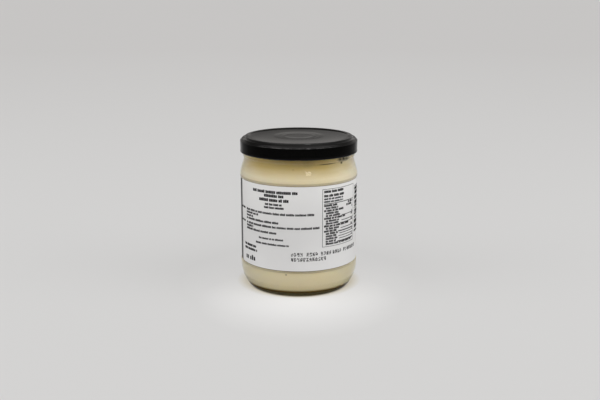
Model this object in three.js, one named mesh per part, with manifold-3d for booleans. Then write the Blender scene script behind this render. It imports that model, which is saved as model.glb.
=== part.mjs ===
// A sealed glass jar of vegetable puree with a black twist-off lid and a white paper label.
// Millimetres, +Z up, origin at the middle of the ring that the jar stands on. The printed side
// with the ingredients and the nutrition table faces -Y.
import * as THREE from "three";
import { mergeVertices } from "three/addons/utils/BufferGeometryUtils.js";
import Module from "manifold-3d";

// Driving dimensions
const TOTAL_HEIGHT = 111.2; // floor to the crest of the lid's rim
const BODY_RADIUS = 43.2; // outside of the glass, below and above the label
const WALL = 2.8; // glass in the straight body
const BASE_GLASS = 3.0; // glass under the puree, at the middle
const PUSH_UP = 4.2; // how far the base is domed up inside its resting ring
const LID_RADIUS = 43.0; // outside of the lid's skirt
const LID_BOTTOM = 99.7; // height of the lid's lower edge
const LID_SHEET = 0.5; // lid wall
const LABEL_BOTTOM = 20.4;
const LABEL_TOP = 81.4;
const LABEL_SHEET = 0.25; // paper
const LABEL_RECESS = 0.55; // the glass is this much narrower behind the label
const RECESS_STEP = 0.8; // height of the slope into that recess
const CLEARANCE = 0.3; // between pieces that touch
const PUREE_LEVEL = 101.6; // just above the lid's lower edge, where the lid hides it
const AROUND = 56; // facets of every round shape
const CURVE_POINTS = 4; // points along each curve of a turned profile

// The resting ring and the heel
const REST_INNER = 34.2;
const REST_OUTER = 36.6;
const REST_EDGE = 0.8; // width of the small bevel round the resting ring
const REST_LEAN = 3.4; // the push-up comes down to the ring from this far inside it
const REST_LIFT = 0.6; // at this height
const HEEL_FLARE = 39.9; // the heel's curve starts towards this radius
const HEEL_TURN = 3.2; // at this height
const HEEL_EASE = 9.5; // and comes into the body from this one
const HEEL_END = 17;
const HEEL_TOP = LABEL_BOTTOM - CLEARANCE - RECESS_STEP;

// The shoulder, the neck and the bead under the lid
const SHOULDER_START = LABEL_TOP + CLEARANCE + RECESS_STEP;
const SHOULDER_TURN = 88; // the shoulder leaves the body towards this height
const NECK_TURN = 91; // and comes into the neck from this one
const NECK_FLARE = 0.65; // this far outside it
const NECK_RADIUS = 40.35;
const NECK_HEIGHT = 95.3;
const BEAD_RADIUS = 41.2;
const BEAD_HEIGHT = 98;
const BEAD_HALF = 1.6;
const FINISH_RADIUS = 39.9; // the threaded ring inside the lid
const MOUTH_RADIUS = 37.4;
const LIP_ROUND = 1.0;

// The inside of the base: a dome over the push-up, with a round corner out to the wall
const FLOOR_EDGE = 34.2;
const FLOOR_LOW = 3.0;
const FLOOR_LEAN = 6.8; // the dome comes down to that edge from this far inside it
const CORNER_RADIUS = 37.5;
const CORNER_EASE = 38.2; // radius and height where the corner meets the heel's inside
const CORNER_TOP = 7.4;
const HEEL_INSIDE = 39.1; // that wall leans out towards this radius
const HEEL_INSIDE_TURN = 11; // at this height
const HEEL_INSIDE_EASE = 14; // and comes into the straight wall from this one

// The lid's panel, rim and safety button
const RIM_FOOT = 39.75; // where the rim rises from the lid's shoulder
const RIM_OUTER = 39.2;
const RIM_CREST = 38.9;
const RIM_INNER = 36.4;
const PANEL_EDGE = 36.0;
const RIM_RISE = 0.85; // the crest's height above the lid's shoulder
const PANEL_DEPTH = 0.85; // how far the panel lies below the crest
const SHOULDER_DROP = 3.5; // height of the lid's rounded shoulder
const SHOULDER_EASE = 1.3; // its curve leaves the skirt towards this much higher
const SHOULDER_CORNER = 41.45; // and comes into the rim's foot from this radius
const SHOULDER_SLOPE = 1.55; // this much lower
const INSIDE_ROUND = 2.8;
const INSIDE_DROP = 3.4;
const PANEL_CROWN = 0.3; // the panel stands this much higher at the button than at its edge
const BUTTON_RADIUS = 17.6;
const BUTTON_SLOPE = 2.0;
const BUTTON_RISE = 0.1;
const DISC_RADIUS = 13.0; // the raised middle of the button
const DISC_SLOPE = 1.2;
const DISC_RISE = 0.12;
const PANEL = TOTAL_HEIGHT - PANEL_DEPTH;
const LID_UNDERSIDE = PANEL - LID_SHEET;

// The rolled lower edge of the lid and the lugs pressed in from it
const CURL = 1.5;
const SKIRT_WAIST = 0.12; // how far the skirt draws in above the curl
const LUGS = 6;
const LUG_ANGLE = THREE.MathUtils.degToRad(13);
const LUG_REACH = 0.35; // past the curl's inner side
const LUG_RAISE = 0.25;
const LUG_HEIGHT = 1.1;

// The threads on the glass
const THREAD_RADIUS = 0.85;
const THREAD_STAND = 0.3; // the ridge's centre line stands this far out of the glass
const THREAD_ANGLE = THREE.MathUtils.degToRad(46);
const THREAD_LOW = 103.4;
const THREAD_RISE = 2.0;
const THREAD_STEPS = 6;

// The puree's surface sags a little between the wall and the middle
const SURFACE_SAG = 0.4;
const SURFACE_EDGE = 4;
const SURFACE_MIDDLE = 16;

// The paper stops short of a full turn, away from the printed side
const LABEL_GAP = 5;
const LABEL_GAP_AT = THREE.MathUtils.degToRad(35);

const wasm = await Module();
wasm.setup();

// Turns (radius, height) points about Z. The outline runs from the axis back to the axis.
function turned(points) {
  const apart = points.filter((point, i) => i === 0 || point.distanceTo(points[i - 1]) > 1e-4);
  const geometry = new THREE.LatheGeometry(apart, AROUND);
  geometry.rotateX(Math.PI / 2);
  return geometry;
}

function solid(geometry) {
  const bare = geometry.index ? geometry.toNonIndexed() : geometry.clone();
  bare.deleteAttribute("normal");
  bare.deleteAttribute("uv");
  const merged = mergeVertices(bare, 1e-3);
  const mesh = new wasm.Mesh({
    numProp: 3,
    vertProperties: merged.attributes.position.array,
    triVerts: new Uint32Array(merged.index.array),
  });
  return new wasm.Manifold(mesh);
}

function geometryOf(manifold) {
  const mesh = manifold.getMesh();
  const geometry = new THREE.BufferGeometry();
  geometry.setAttribute("position", new THREE.BufferAttribute(mesh.vertProperties, 3));
  geometry.setIndex(new THREE.BufferAttribute(mesh.triVerts, 1));
  geometry.computeVertexNormals();
  return geometry;
}

// The outside of the glass, from the middle of the base up to the rounded lip.
function jarOutside() {
  const top = LID_UNDERSIDE - CLEARANCE;
  const lip = (FINISH_RADIUS + MOUTH_RADIUS) / 2;
  const recess = BODY_RADIUS - LABEL_RECESS;
  const flare = NECK_RADIUS + NECK_FLARE;
  const path = new THREE.Path();
  path.moveTo(0, PUSH_UP);
  path.bezierCurveTo(REST_INNER / 2, PUSH_UP, REST_INNER - REST_LEAN, REST_LIFT, REST_INNER, 0);
  path.lineTo(REST_OUTER, 0);
  path.lineTo(REST_OUTER + REST_EDGE, REST_EDGE / 2);
  path.bezierCurveTo(HEEL_FLARE, HEEL_TURN, BODY_RADIUS, HEEL_EASE, BODY_RADIUS, HEEL_END);
  path.lineTo(BODY_RADIUS, HEEL_TOP);
  path.lineTo(recess, LABEL_BOTTOM - CLEARANCE);
  path.lineTo(recess, LABEL_TOP + CLEARANCE);
  path.lineTo(BODY_RADIUS, SHOULDER_START);
  path.bezierCurveTo(BODY_RADIUS, SHOULDER_TURN, flare, NECK_TURN, NECK_RADIUS, NECK_HEIGHT);
  path.lineTo(NECK_RADIUS, BEAD_HEIGHT - BEAD_HALF);
  const beadBulge = 2 * BEAD_RADIUS - NECK_RADIUS;
  path.quadraticCurveTo(beadBulge, BEAD_HEIGHT, FINISH_RADIUS, BEAD_HEIGHT + BEAD_HALF);
  path.lineTo(FINISH_RADIUS, top - LIP_ROUND);
  path.quadraticCurveTo(FINISH_RADIUS, top, lip, top);
  path.quadraticCurveTo(MOUTH_RADIUS, top, MOUTH_RADIUS, top - LIP_ROUND);
  return path.getPoints(CURVE_POINTS);
}

// The inside of the glass, from the middle of the base up to the neck, drawn in by a gap.
function jarInside(gap) {
  const middle = PUSH_UP + BASE_GLASS + gap;
  const low = FLOOR_LOW + gap;
  const wall = BODY_RADIUS - WALL - gap;
  const lean = HEEL_INSIDE - gap;
  const neck = MOUTH_RADIUS - gap;
  const path = new THREE.Path();
  path.moveTo(0, middle);
  path.bezierCurveTo(FLOOR_EDGE / 2, middle, FLOOR_EDGE - FLOOR_LEAN, low, FLOOR_EDGE - gap, low);
  path.quadraticCurveTo(CORNER_RADIUS - gap, low, CORNER_EASE - gap, CORNER_TOP);
  path.bezierCurveTo(lean, HEEL_INSIDE_TURN, wall, HEEL_INSIDE_EASE, wall, HEEL_TOP);
  path.lineTo(wall, SHOULDER_START);
  path.bezierCurveTo(wall, SHOULDER_TURN, neck + NECK_FLARE, NECK_TURN, neck, NECK_HEIGHT);
  return path.getPoints(CURVE_POINTS);
}

// One thread on the glass: a short rising ridge that a lug of the lid slides under.
class ThreadCurve extends THREE.Curve {
  constructor(start) {
    super();
    this.start = start;
  }
  getPoint(t) {
    const angle = this.start + t * THREAD_ANGLE;
    const radius = FINISH_RADIUS + THREAD_STAND;
    const height = THREAD_LOW + t * THREAD_RISE;
    return new THREE.Vector3(radius * Math.cos(angle), radius * Math.sin(angle), height);
  }
}

function threadRidge(start) {
  const round = new THREE.Path().absarc(0, 0, THREAD_RADIUS, 0, 2 * Math.PI);
  const section = new THREE.Shape(round.getPoints(CURVE_POINTS).slice(0, -1));
  const extrudePath = new ThreadCurve(start);
  return new THREE.ExtrudeGeometry(section, { steps: THREAD_STEPS, bevelEnabled: false, extrudePath });
}

function jarGeometry() {
  let glass = solid(turned([...jarOutside(), ...jarInside(0).reverse()]));
  for (let i = 0; i < LUGS; i++) {
    glass = glass.add(solid(threadRidge((i * 2 * Math.PI) / LUGS)));
  }
  return geometryOf(glass);
}

// The puree fills the glass up to its level.
function pureeGeometry() {
  const edge = MOUTH_RADIUS - CLEARANCE;
  const sunk = PUREE_LEVEL - SURFACE_SAG;
  const surface = new THREE.Path();
  surface.moveTo(edge, PUREE_LEVEL);
  surface.quadraticCurveTo(edge - SURFACE_EDGE, sunk - SURFACE_SAG, SURFACE_MIDDLE, sunk);
  surface.lineTo(0, PUREE_LEVEL);
  return turned([...jarInside(CLEARANCE), ...surface.getPoints(CURVE_POINTS)]);
}

// The lid, from the middle of its underside down to the rolled edge, then up and over the outside.
function lidGeometry() {
  const crown = PANEL + PANEL_CROWN;
  const button = crown + BUTTON_RISE;
  const disc = button + DISC_RISE;
  const inside = LID_RADIUS - LID_SHEET;
  const shoulder = TOTAL_HEIGHT - SHOULDER_DROP;
  const foot = TOTAL_HEIGHT - RIM_RISE;
  const curlMiddle = LID_RADIUS - CURL / 2;
  const curlInside = LID_RADIUS - CURL;
  const curlTop = LID_BOTTOM + CURL;
  const path = new THREE.Path();
  path.moveTo(0, LID_UNDERSIDE);
  path.lineTo(inside - INSIDE_ROUND, LID_UNDERSIDE);
  path.quadraticCurveTo(inside, LID_UNDERSIDE, inside, LID_UNDERSIDE - INSIDE_DROP);
  path.lineTo(inside, curlTop);
  path.lineTo(curlInside, LID_BOTTOM + CURL / 2);
  path.quadraticCurveTo(curlInside, LID_BOTTOM, curlMiddle, LID_BOTTOM);
  path.quadraticCurveTo(LID_RADIUS, LID_BOTTOM, LID_RADIUS, LID_BOTTOM + CURL / 2);
  path.lineTo(LID_RADIUS - SKIRT_WAIST, curlTop);
  path.lineTo(LID_RADIUS, shoulder);
  const corner = [SHOULDER_CORNER, foot - SHOULDER_SLOPE];
  path.bezierCurveTo(LID_RADIUS, shoulder + SHOULDER_EASE, ...corner, RIM_FOOT, foot);
  path.quadraticCurveTo(RIM_OUTER, TOTAL_HEIGHT, RIM_CREST, TOTAL_HEIGHT);
  path.quadraticCurveTo(RIM_INNER, TOTAL_HEIGHT, PANEL_EDGE, PANEL);
  path.lineTo(BUTTON_RADIUS, crown);
  path.lineTo(BUTTON_RADIUS - BUTTON_SLOPE, button);
  path.lineTo(DISC_RADIUS, button);
  path.lineTo(DISC_RADIUS - DISC_SLOPE, disc);
  path.lineTo(0, disc);
  let lid = solid(turned(path.getPoints(CURVE_POINTS)));
  for (let i = 0; i < LUGS; i++) {
    lid = lid.add(solid(lugGeometry(((i + 0.5) * 2 * Math.PI) / LUGS)));
  }
  return geometryOf(lid);
}

// One lug: a short tab pressed inwards from the lid's rolled edge.
function lugGeometry(angle) {
  const from = angle - LUG_ANGLE / 2;
  const to = angle + LUG_ANGLE / 2;
  const shape = new THREE.Shape();
  shape.absarc(0, 0, LID_RADIUS - CURL / 2, from, to, false);
  shape.absarc(0, 0, LID_RADIUS - CURL - LUG_REACH, to, from, true);
  const tab = new THREE.ExtrudeGeometry(shape, {
    depth: LUG_HEIGHT,
    bevelEnabled: false,
    curveSegments: CURVE_POINTS,
  });
  tab.translate(0, 0, LID_BOTTOM + LUG_RAISE);
  return tab;
}

// The label: a strip of paper bent round the glass, with a gap between its two ends.
function labelGeometry() {
  const inner = BODY_RADIUS - LABEL_RECESS + CLEARANCE;
  const outer = inner + LABEL_SHEET;
  const half = LABEL_GAP / 2 / outer;
  const from = LABEL_GAP_AT + half;
  const to = LABEL_GAP_AT + 2 * Math.PI - half;
  const shape = new THREE.Shape();
  shape.absarc(0, 0, outer, from, to, false);
  shape.absarc(0, 0, inner, to, from, true);
  const strip = new THREE.ExtrudeGeometry(shape, {
    depth: LABEL_TOP - LABEL_BOTTOM,
    bevelEnabled: false,
    curveSegments: AROUND / 2,
  });
  strip.translate(0, 0, LABEL_BOTTOM);
  return strip;
}

const FINISHES = {
  jar: { color: 0xe4ebe6, roughness: 0.03, metalness: 0, transparent: true, opacity: 0.35 },
  puree: { color: 0xd8c898, roughness: 0.5, metalness: 0 },
  lid: { color: 0x0d0c0b, roughness: 0.22, metalness: 0 },
  label: { color: 0xebe9e6, roughness: 0.6, metalness: 0 },
};

function piece(name, geometry) {
  const mesh = new THREE.Mesh(geometry, new THREE.MeshStandardMaterial(FINISHES[name]));
  mesh.name = name;
  return mesh;
}

const jarOfPuree = new THREE.Group();
jarOfPuree.add(piece("jar", jarGeometry()));
jarOfPuree.add(piece("puree", pureeGeometry()));
jarOfPuree.add(piece("lid", lidGeometry()));
jarOfPuree.add(piece("label", labelGeometry()));

export default jarOfPuree;
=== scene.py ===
"""A sealed glass jar of vegetable puree: clear glass, cream puree, black twist-off lid, white label.

Lengths named here are in millimetres, unless a comment says metres, and are turned into metres where
a shape is drawn. The label's printed side faces -Y, and the camera looks along +Y, a little down. A
band is a pair of places: where a tone begins, and where it is full.
"""

import math
import random

import bpy
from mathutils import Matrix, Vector


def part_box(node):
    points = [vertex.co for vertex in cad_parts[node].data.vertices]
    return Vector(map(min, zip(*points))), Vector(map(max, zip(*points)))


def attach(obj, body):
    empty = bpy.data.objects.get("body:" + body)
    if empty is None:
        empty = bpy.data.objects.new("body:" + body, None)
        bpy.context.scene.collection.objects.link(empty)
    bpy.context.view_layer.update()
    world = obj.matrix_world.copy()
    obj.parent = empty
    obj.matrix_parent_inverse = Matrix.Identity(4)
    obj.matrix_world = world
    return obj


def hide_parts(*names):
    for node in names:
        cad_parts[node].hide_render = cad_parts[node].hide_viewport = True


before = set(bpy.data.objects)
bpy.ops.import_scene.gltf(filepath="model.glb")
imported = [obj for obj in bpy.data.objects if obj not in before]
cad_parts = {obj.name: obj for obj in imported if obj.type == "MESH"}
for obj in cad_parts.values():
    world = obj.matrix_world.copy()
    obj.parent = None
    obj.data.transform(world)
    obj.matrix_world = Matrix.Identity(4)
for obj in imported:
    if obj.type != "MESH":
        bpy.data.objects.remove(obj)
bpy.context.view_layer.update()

MM = 0.001


def colour(red, green, blue):
    return (red, green, blue, 1.0)


# Sizes that the frame gives
jar_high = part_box("jar")[1] / MM
puree_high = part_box("puree")[1] / MM
lid_low, lid_high = (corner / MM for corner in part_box("lid"))
label_low, label_high = (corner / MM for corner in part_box("label"))
BODY_RADIUS = jar_high.x
LID_RADIUS = lid_high.x
LID_BOTTOM = lid_low.z
TOTAL_HEIGHT = lid_high.z
LIP_TOP = jar_high.z
LABEL_BOTTOM = label_low.z
LABEL_TOP = label_high.z
PUREE_LEVEL = puree_high.z

# The glass
WALL = 2.8
BASE_GLASS = 3.0
PUSH_UP = 4.2
LABEL_RECESS = 0.55
RECESS_STEP = 0.8
RECESS_EDGE = 0.3  # between the label's edge and the step
REST_INNER = 34.2
REST_OUTER = 36.6
REST_EDGE = 0.8
REST_LEAN = 3.4
REST_LIFT = 0.6
KNURL_DEPTH = 0.16
KNURL_PITCH = 4  # columns of points from rib to rib
KNURL_WIDTH = 2  # columns of points in a rib
HEEL_FLARE = 39.9
HEEL_TURN = 3.2
HEEL_EASE = 9.5
HEEL_END = 17
SHOULDER_TURN = 88
NECK_TURN = 91
NECK_FLARE = 0.65
NECK_RADIUS = 40.35
NECK_HEIGHT = 95.3
BEAD_RADIUS = 41.2
BEAD_HEIGHT = 98
BEAD_HALF = 1.6
FINISH_RADIUS = 39.9
MOUTH_RADIUS = 37.4
LIP_ROUND = 1.0
FLOOR_EDGE = 34.2  # the inside floor runs down to here
FLOOR_LOW = 3.0
FLOOR_LEAN = 6.8
CORNER_RADIUS = 37.5
CORNER_EASE = 38.2
CORNER_TOP = 7.4
HEEL_INSIDE = 39.1
HEEL_INSIDE_TURN = 11
HEEL_INSIDE_EASE = 14
HEEL_TOP = LABEL_BOTTOM - RECESS_EDGE - RECESS_STEP
SHOULDER_START = LABEL_TOP + RECESS_EDGE + RECESS_STEP
SEAM_ANGLE = 82  # degrees round from the printed side to the mould's parting lines
SEAM_HEIGHT = 0.07
SEAM_START = 1.0  # above the floor
SEAM_REACH = 0.3  # inwards from the neck's outside: what lies in it is raised too
SEAM_OFFSETS = (-0.4, -0.14, 0.0, 0.14, 0.4)  # of the cuts beside the parting line

# The threads on the glass and the lugs of the lid
LUGS = 6
THREAD_LOW = 103.4
THREAD_RISE = 2.0
THREAD_SPAN = 46
THREAD_HALF = 0.9
THREAD_DEPTH = 1.1
THREAD_FADE = 0.12  # share of its length in which each end dies away
THREAD_FLANK = 1.4  # half-heights from its middle to where it meets the glass
LUG_SPAN = 13
LUG_REACH = 0.9
LUG_STEEPNESS = 2.4  # of its two ends

# The lid
RIM_RISE = 0.85
RIM_FOOT = 39.75
RIM_STEP = 39.3
RIM_OUTER = 39.15
RIM_CREST = 38.95
RIM_INNER = 36.4
PANEL_EDGE = 36.0
PANEL_DEPTH = 0.72
PANEL_CROWN = 0.38  # the panel stands this much higher at the button than at its edge
SHOULDER_DROP = 3.5
SHOULDER_EASE = 1.3
SHOULDER_CORNER = 41.45
SHOULDER_SLOPE = 1.55
INSIDE_ROUND = 2.8
INSIDE_DROP = 3.4
LID_SHEET = 0.35
BUTTON_RADIUS = 18.8
BUTTON_SLOPE = 3.6
BUTTON_DROP = 0.13
GROOVE_OUTER = 13.6
GROOVE_MIDDLE = 11.0
GROOVE_INNER = 8.4
GROOVE_DEPTH = 0.09
RAMP_EASE = 0.5  # how far a ramp's ends are rounded
HIGHLIGHT_HEIGHT = 108.25  # of the painted highlight along the edge of the lid's shoulder
HIGHLIGHT_HALF = 0.42
CURL = 1.5
CURL_GAP = 0.2  # from the top of the curl to the straight part of the skirt inside
SKIRT_WAIST = 0.12

# The meshes
COLUMNS = 192  # of points round the jar
CREASE = 35  # degrees: an edge sharper than this stays sharp
LID_CREASE = 60
MERGED = 0.002  # points closer than this become one
NEAR = 0.1  # a point closer than this to a line counts as on it
ON_CUT = 0.001  # and a point closer than this to a cut isn't cut again

# The puree
INTO_WALL = 0.05  # it reaches this far into the glass, so that no air shows between them
SURFACE_SAG = 0.8
SURFACE_EDGE = 4  # width of the climb at the wall

# Dark specks against the glass: place, radius and strength
SPECKS = (
    ((-3.8, -38.5, 92.7), 0.9, 0.7),
    ((29.1, -23.6, 95.2), 1.4, 1.0),
    ((6.8, -36.8, 97.5), 5.5, 0.14),
    ((-8.8, -39.4, 17.1), 0.9, 0.55),
)
SPECK_CORE = 0.4  # share of its radius that is full

# Tones of the puree
CREAM = colour(0.912, 0.795, 0.535)
PALE_CREAM = colour(0.935, 0.818, 0.575)
FLECK_CREAM = colour(0.75, 0.65, 0.38)
LOW_SHADE_CREAM = colour(0.80, 0.69, 0.44)  # painted shade, darker towards the foot
# painted shade, darker at the neck under the lid
NECK_SHADE_CREAM = colour(0.84, 0.74, 0.50)
FLANK_SHADE_CREAM = colour(0.60, 0.54, 0.36)  # painted shade, low at both sides
EDGE_LIGHT_CREAM = colour(0.86, 0.81, 0.71)  # painted light, paler and greyer high at both sides
LEFT_SHADE_CREAM = colour(0.77, 0.69, 0.54)  # painted shade, high at the left
AGED_AND_SHADED_CREAM = colour(0.60, 0.43, 0.11)  # in front, under the lid: browner with age, and painted shade of the lid
STREAK_CREAM = colour(0.66, 0.52, 0.25)
PAPER_SHADOW_CREAM = colour(0.22, 0.165, 0.08)  # painted shadow of the paper, behind it and just beyond its edges
# a thin dark line painted on the puree under the lid
DARK_LINE_BROWN = colour(0.03, 0.022, 0.006)
SPECK_BROWN = colour(0.10, 0.075, 0.025)
# painted shade, dark at the foot of the puree
FOOT_SHADE_BROWN = colour(0.20, 0.115, 0.005)

# Where those tones begin and are full, by height, to the right or the left, or towards the front
LOW_BAND = (60, 25)
NECK_BAND = (85.8, 89.8)
AGED_AND_SHADED_BAND = (85.5, 93)
FOOT_BAND = (5.3, 3.8)
FLANK_BAND = (10, 34)
EDGE_BAND = (18, 38)
LEFT_BAND = (-4, -34)
LEFT_SHARE = 0.45
LEFT_MORE = 0.4  # added towards the foot
FRONT_SHIFT = 4  # the aged and shaded front lies this far to the left
FRONT_BAND = (42, 22)
FRONT_DEPTH = (0, -20)
# the painted shadow of the paper reaches a little beyond its edges
PAPER_TOP_BAND = (LABEL_TOP + 1.9, LABEL_TOP - 0.2)
PAPER_FOOT_BAND = (LABEL_BOTTOM - 2.6, LABEL_BOTTOM - 0.5)
STREAK_SQUEEZE = (1.0, 1.0, 4.5)  # of the noise that draws the streaks, which makes them lie flat

# The dark line: a thin dark line painted on the puree under the lid, at the right
DARK_LINE_HEIGHT = 96.0
DARK_LINE_LOWEST = 18  # this far to the right it is lowest
DARK_LINE_BOW = 1.5  # how much it curves up on either side, per metre
DARK_LINE_RISE = 0.6  # of its right half
DARK_LINE_RISE_BAND = (21.5, 27.5)
DARK_LINE_SWELL = 1.5  # its thickness at the right, in thicknesses of the left half
DARK_LINE_SWELL_BAND = (26, 30)
DARK_LINE_EDGE = (0.78, 0.3)  # from its middle
DARK_LINE_LEFT_END = (12.5, 16.5)
DARK_LINE_RIGHT_END = (35.0, 32.5)
DARK_LINE_DEPTH = (0, -4)

# Tones of the glass, the lid, the paper and the inks
GLASS_TINT = colour(0.985, 0.995, 0.98)
# painted shade: browns what is seen through the foot of the glass
GLASS_FOOT_SHADE_TINT = colour(0.965, 0.875, 0.52)
GLASS_SHADOW_TINT = colour(0.98, 0.99, 0.975)
GLASS_FOOT_BAND = (5.0, 3.0)
LACQUER = colour(0.001, 0.0009, 0.0008)
# painted highlight along the edge of the lid's shoulder
HIGHLIGHT_LACQUER = colour(0.075, 0.073, 0.07)
HIGHLIGHT_BAND = (30, 38)  # where the painted highlight lies: to the front or the back
SHADED_PAPER = colour(0.695, 0.69, 0.688)
WHITE_PAPER = colour(0.93, 0.925, 0.915)
PAPER_BAND = (50, 80)  # painted shade: the paper is greyer towards its foot and whiter towards its top
PAPER_MOTTLE = 0.4  # share of its shade that is uneven
BLACK_INK = (0.024, 0.023, 0.024)
DARK_FIELD_INK = (0.02, 0.02, 0.021)
CREAM_INK = (0.78, 0.76, 0.70)
MARKS_INK = (0.03, 0.032, 0.028)
THIN_INK = 0.35  # level of the paper where it shows through the ink
THIN_SHARE = 0.08

# The label
PAPER = 0.16
PAPER_LIFT = 0.02  # off the glass
PAPER_RADIUS = BODY_RADIUS - LABEL_RECESS + PAPER_LIFT
INK = 0.02
PAPER_STEP = 1.2  # length of one flat facet of paper
GAP = 5
GAP_AT = 125  # degrees round from the middle of the printed side
DARK_FROM = -73.1  # degrees: the dark front panel starts here and runs away to the left

# The print, along the paper from the middle of the printed side and up from the floor
HEAVY = 0.92  # share of a block's pitch that is inked, and of the line's height in most blocks
LIGHT = 0.88
LARGE = 0.82
OPEN = 0.76
BLOCK_PITCH = 0.6  # in heights of the line
WORD_LENGTHS = (2, 3, 4, 5, 6, 7, 8)  # in blocks
WORD_SPACE = 0.55  # in pitches
LOW_BLOCK = 0.08  # a low block is this much lower, in heights of the line
DOT_ROWS = 5
DOT_COLUMNS = 3
DOT_SIZE = 0.9  # in steps of the pattern
DOT_SHARE = 0.78  # of a pattern's places that have a dot
HEADING_LINES = (  # left, right, low and high of each
    (-36.6, -0.1, 75.8, 78.0),
    (-25.9, -9.6, 73.1, 75.3),
    (-30.3, -5.8, 70.0, 72.2),
    (-25.1, -11.0, 67.2, 68.8),
    (-26.0, -10.3, 64.9, 66.5),
    (-48.9, -33.2, 34.0, 35.9),
    (-49.0, -32.7, 31.1, 33.0),
    (-47.0, -34.2, 24.0, 27.7),
)
TALL_LINE = 3  # a heading taller than this is open
TEXT_BLOCKS = (  # top of each, and where its lines end
    (61.0, (11.2, -30.8, -36.6, -14.1)),
    (51.3, (15.3, -36.8, -14.9)),
)
TEXT_LEFT = -45.4
TEXT_DROP = 0.5  # from the block's top to the foot of its first line
TEXT_PITCH = 2.15
TEXT_HEIGHT = 1.65
SIDE_WORD = (-55.4, -47.7)  # left and right of the heavy word beside a block
SIDE_WORD_FOOT = 0.3  # below the block's top
SIDE_WORD_TOP = 1.2  # above the block's top
LOW_LINES = (
    (-31.0, -10.5, 42.0, 43.5),
    (-34.1, -6.9, 38.1, 39.6),
)
CODE_GROUPS = ((-5.4, 3.7), (5.6, 14.4), (16.1, 24.3), (25.7, 33.7), (36.0, 52.6))
CODE_HEIGHTS = (31.3, 34.0)
LOW_CODE = (-5.4, 20.1, 27.6, 30.3)
TEXT_SEED = 4

# The nutrition table and the bars beside it
TABLE = (17.0, 49.6, 37.1, 79.0)  # left, right, bottom and top of its box
TABLE_LINE = 0.3
TABLE_INSET = 1.3
TABLE_HEADINGS = (  # right end, low, high and weight of each
    (36.3, 76.2, 78.1, HEAVY),
    (36.3, 73.2, 75.1, HEAVY),
    (36.0, 71.2, 72.6, LIGHT),
    (36.0, 69.2, 70.6, LIGHT),
)
TABLE_HEADING_RULE = (68.1, 68.6)
TABLE_FIRST = 66.3  # height of its first row
TABLE_PITCH = 1.86
TABLE_TEXT = 1.6
TABLE_INDENT = 1.4
TABLE_ENDS = (  # where the words of each row end
    30.3, 30.6, 36.2, 31.5, 33.0, 38.8, 32.7, 31.5,
    42.6, 32.0, 29.5, 30.8, 29.8, 30.4, 28.8, 47.6,
)
STRONG_ROWS = (0, 2, 5, 8, 10)
LONG_VALUE_ROWS = (0, 1)
VALUE_ROWS = (2, 4, 5, 7, 9, 11, 13)
THIN_RULE_ROWS = (4, 6, 7, 9, 11, 12, 13)
BOLD_RULE_ROWS = (10, 14)
VALUE_END = 1.2  # from the box's right edge
VALUE_STARTS = (2.6, 4.0)  # the least and the most from the box's right edge
LONG_VALUE_START = 8.5
LONG_VALUE_STEP = 2  # each long value stands this much further in than the last
RULE_MARGIN = 1
RULE_DROP = 0.02  # from the foot of a row's words
THIN_RULE_FOOT = 0.5
BOLD_RULE_FOOT = 0.8
TABLE_SEED = 9
BARS_LOW = 42.0
BARS_HIGH = 76.4
BARS_LEFT = 52.2
BARS_RIGHT = 68.0
BAR_NOTCHES = (0, 0, 0.6)  # how much shorter a bar may be at the left
BAR_HEIGHTS = (0.6, 1.4, 2.2, 2.8)
BAR_GAPS = (0.5, 0.9, 1.2)
BARS_SEED = 21

# The front panel, from its own middle
PLATE_HALF = 36
PLATE_LOW = 29
PLATE_HIGH = 71.5
PLATE_ROUNDING = 0.62  # 0 leaves the corners square
BORDER_LINES = ((22.2, 22.6), (77.6, 78.0))
BORDER_MARGIN = 6
SPRIG_OFF = 45
SPRIG_LOW = 32
SPRIG_HIGH = 66
STEM_HALF = 0.2
LEAF_TIERS = 5
LEAF_FIRST = 38
LEAF_PITCH = 5.4
LEAF_OFF = 2.2
LEAF_LEAN = 48  # degrees from upright
LEAF_HALVES = (2.6, 1.1)  # half its length and half its width
LEAF_FULLNESS = 0.8  # 0 leaves it square
TOP_LEAF_LEANS = (-50, 0, 50)
TOP_LEAF_HEIGHT = 64
TOP_LEAF_OFF = 3.4
TOP_LEAF_HALVES = (3.2, 1.3)
FRONT_LINES = ((24, 52, 59.5, LARGE), (19, 42.5, 46.7, LARGE), (12, 34.5, 36.9, LIGHT))
FRONT_RULE = (26, 40.2, 40.6)
FRONT_SEED = 2

# The room's light by the sine of its height above the horizon, behind the jar and behind the camera
BACK_LIGHT = (
    (0.0, 0.2), (0.035, 0.25), (0.087, 0.1), (0.139, 0.145), (0.174, 0.25), (0.225, 0.46), (0.28, 0.34),
    (0.36, 0.13), (0.47, 0.11), (0.67, 0.09), (0.82, 0.12), (0.90, 0.45), (1.0, 0.45),
)
FRONT_LIGHT = ((0.0, 0.05), (0.208, 0.1), (0.5, 0.85), (0.766, 1.12), (0.90, 0.42), (1.0, 0.40))
# The light from below the horizon, by the sine of the turn towards the back
LOW_LIGHT = ((0.0, 0.045), (0.3, 0.06), (0.42, 0.065), (0.75, 0.165), (1.0, 0.58))
CAST = 0.015  # how much weaker its blue is than its red
BACK_CAST = 0.07
SIDE_LIGHT = 0.07  # added at both sides
RIGHT_MORE = 0.9  # share of it that is added again at the right
NEAR_RIGHT = ((0.0, 0.08), (0.2, 0.5))  # where the light close to the right of the jar begins and ends
FRONT_TO_BACK = (-0.3, 0.3)
HORIZON = (-0.01, 0.01)
SIDE_HORIZON = (-0.02, 0.02)
BACKDROP = colour(0.60, 0.59, 0.583)
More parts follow.
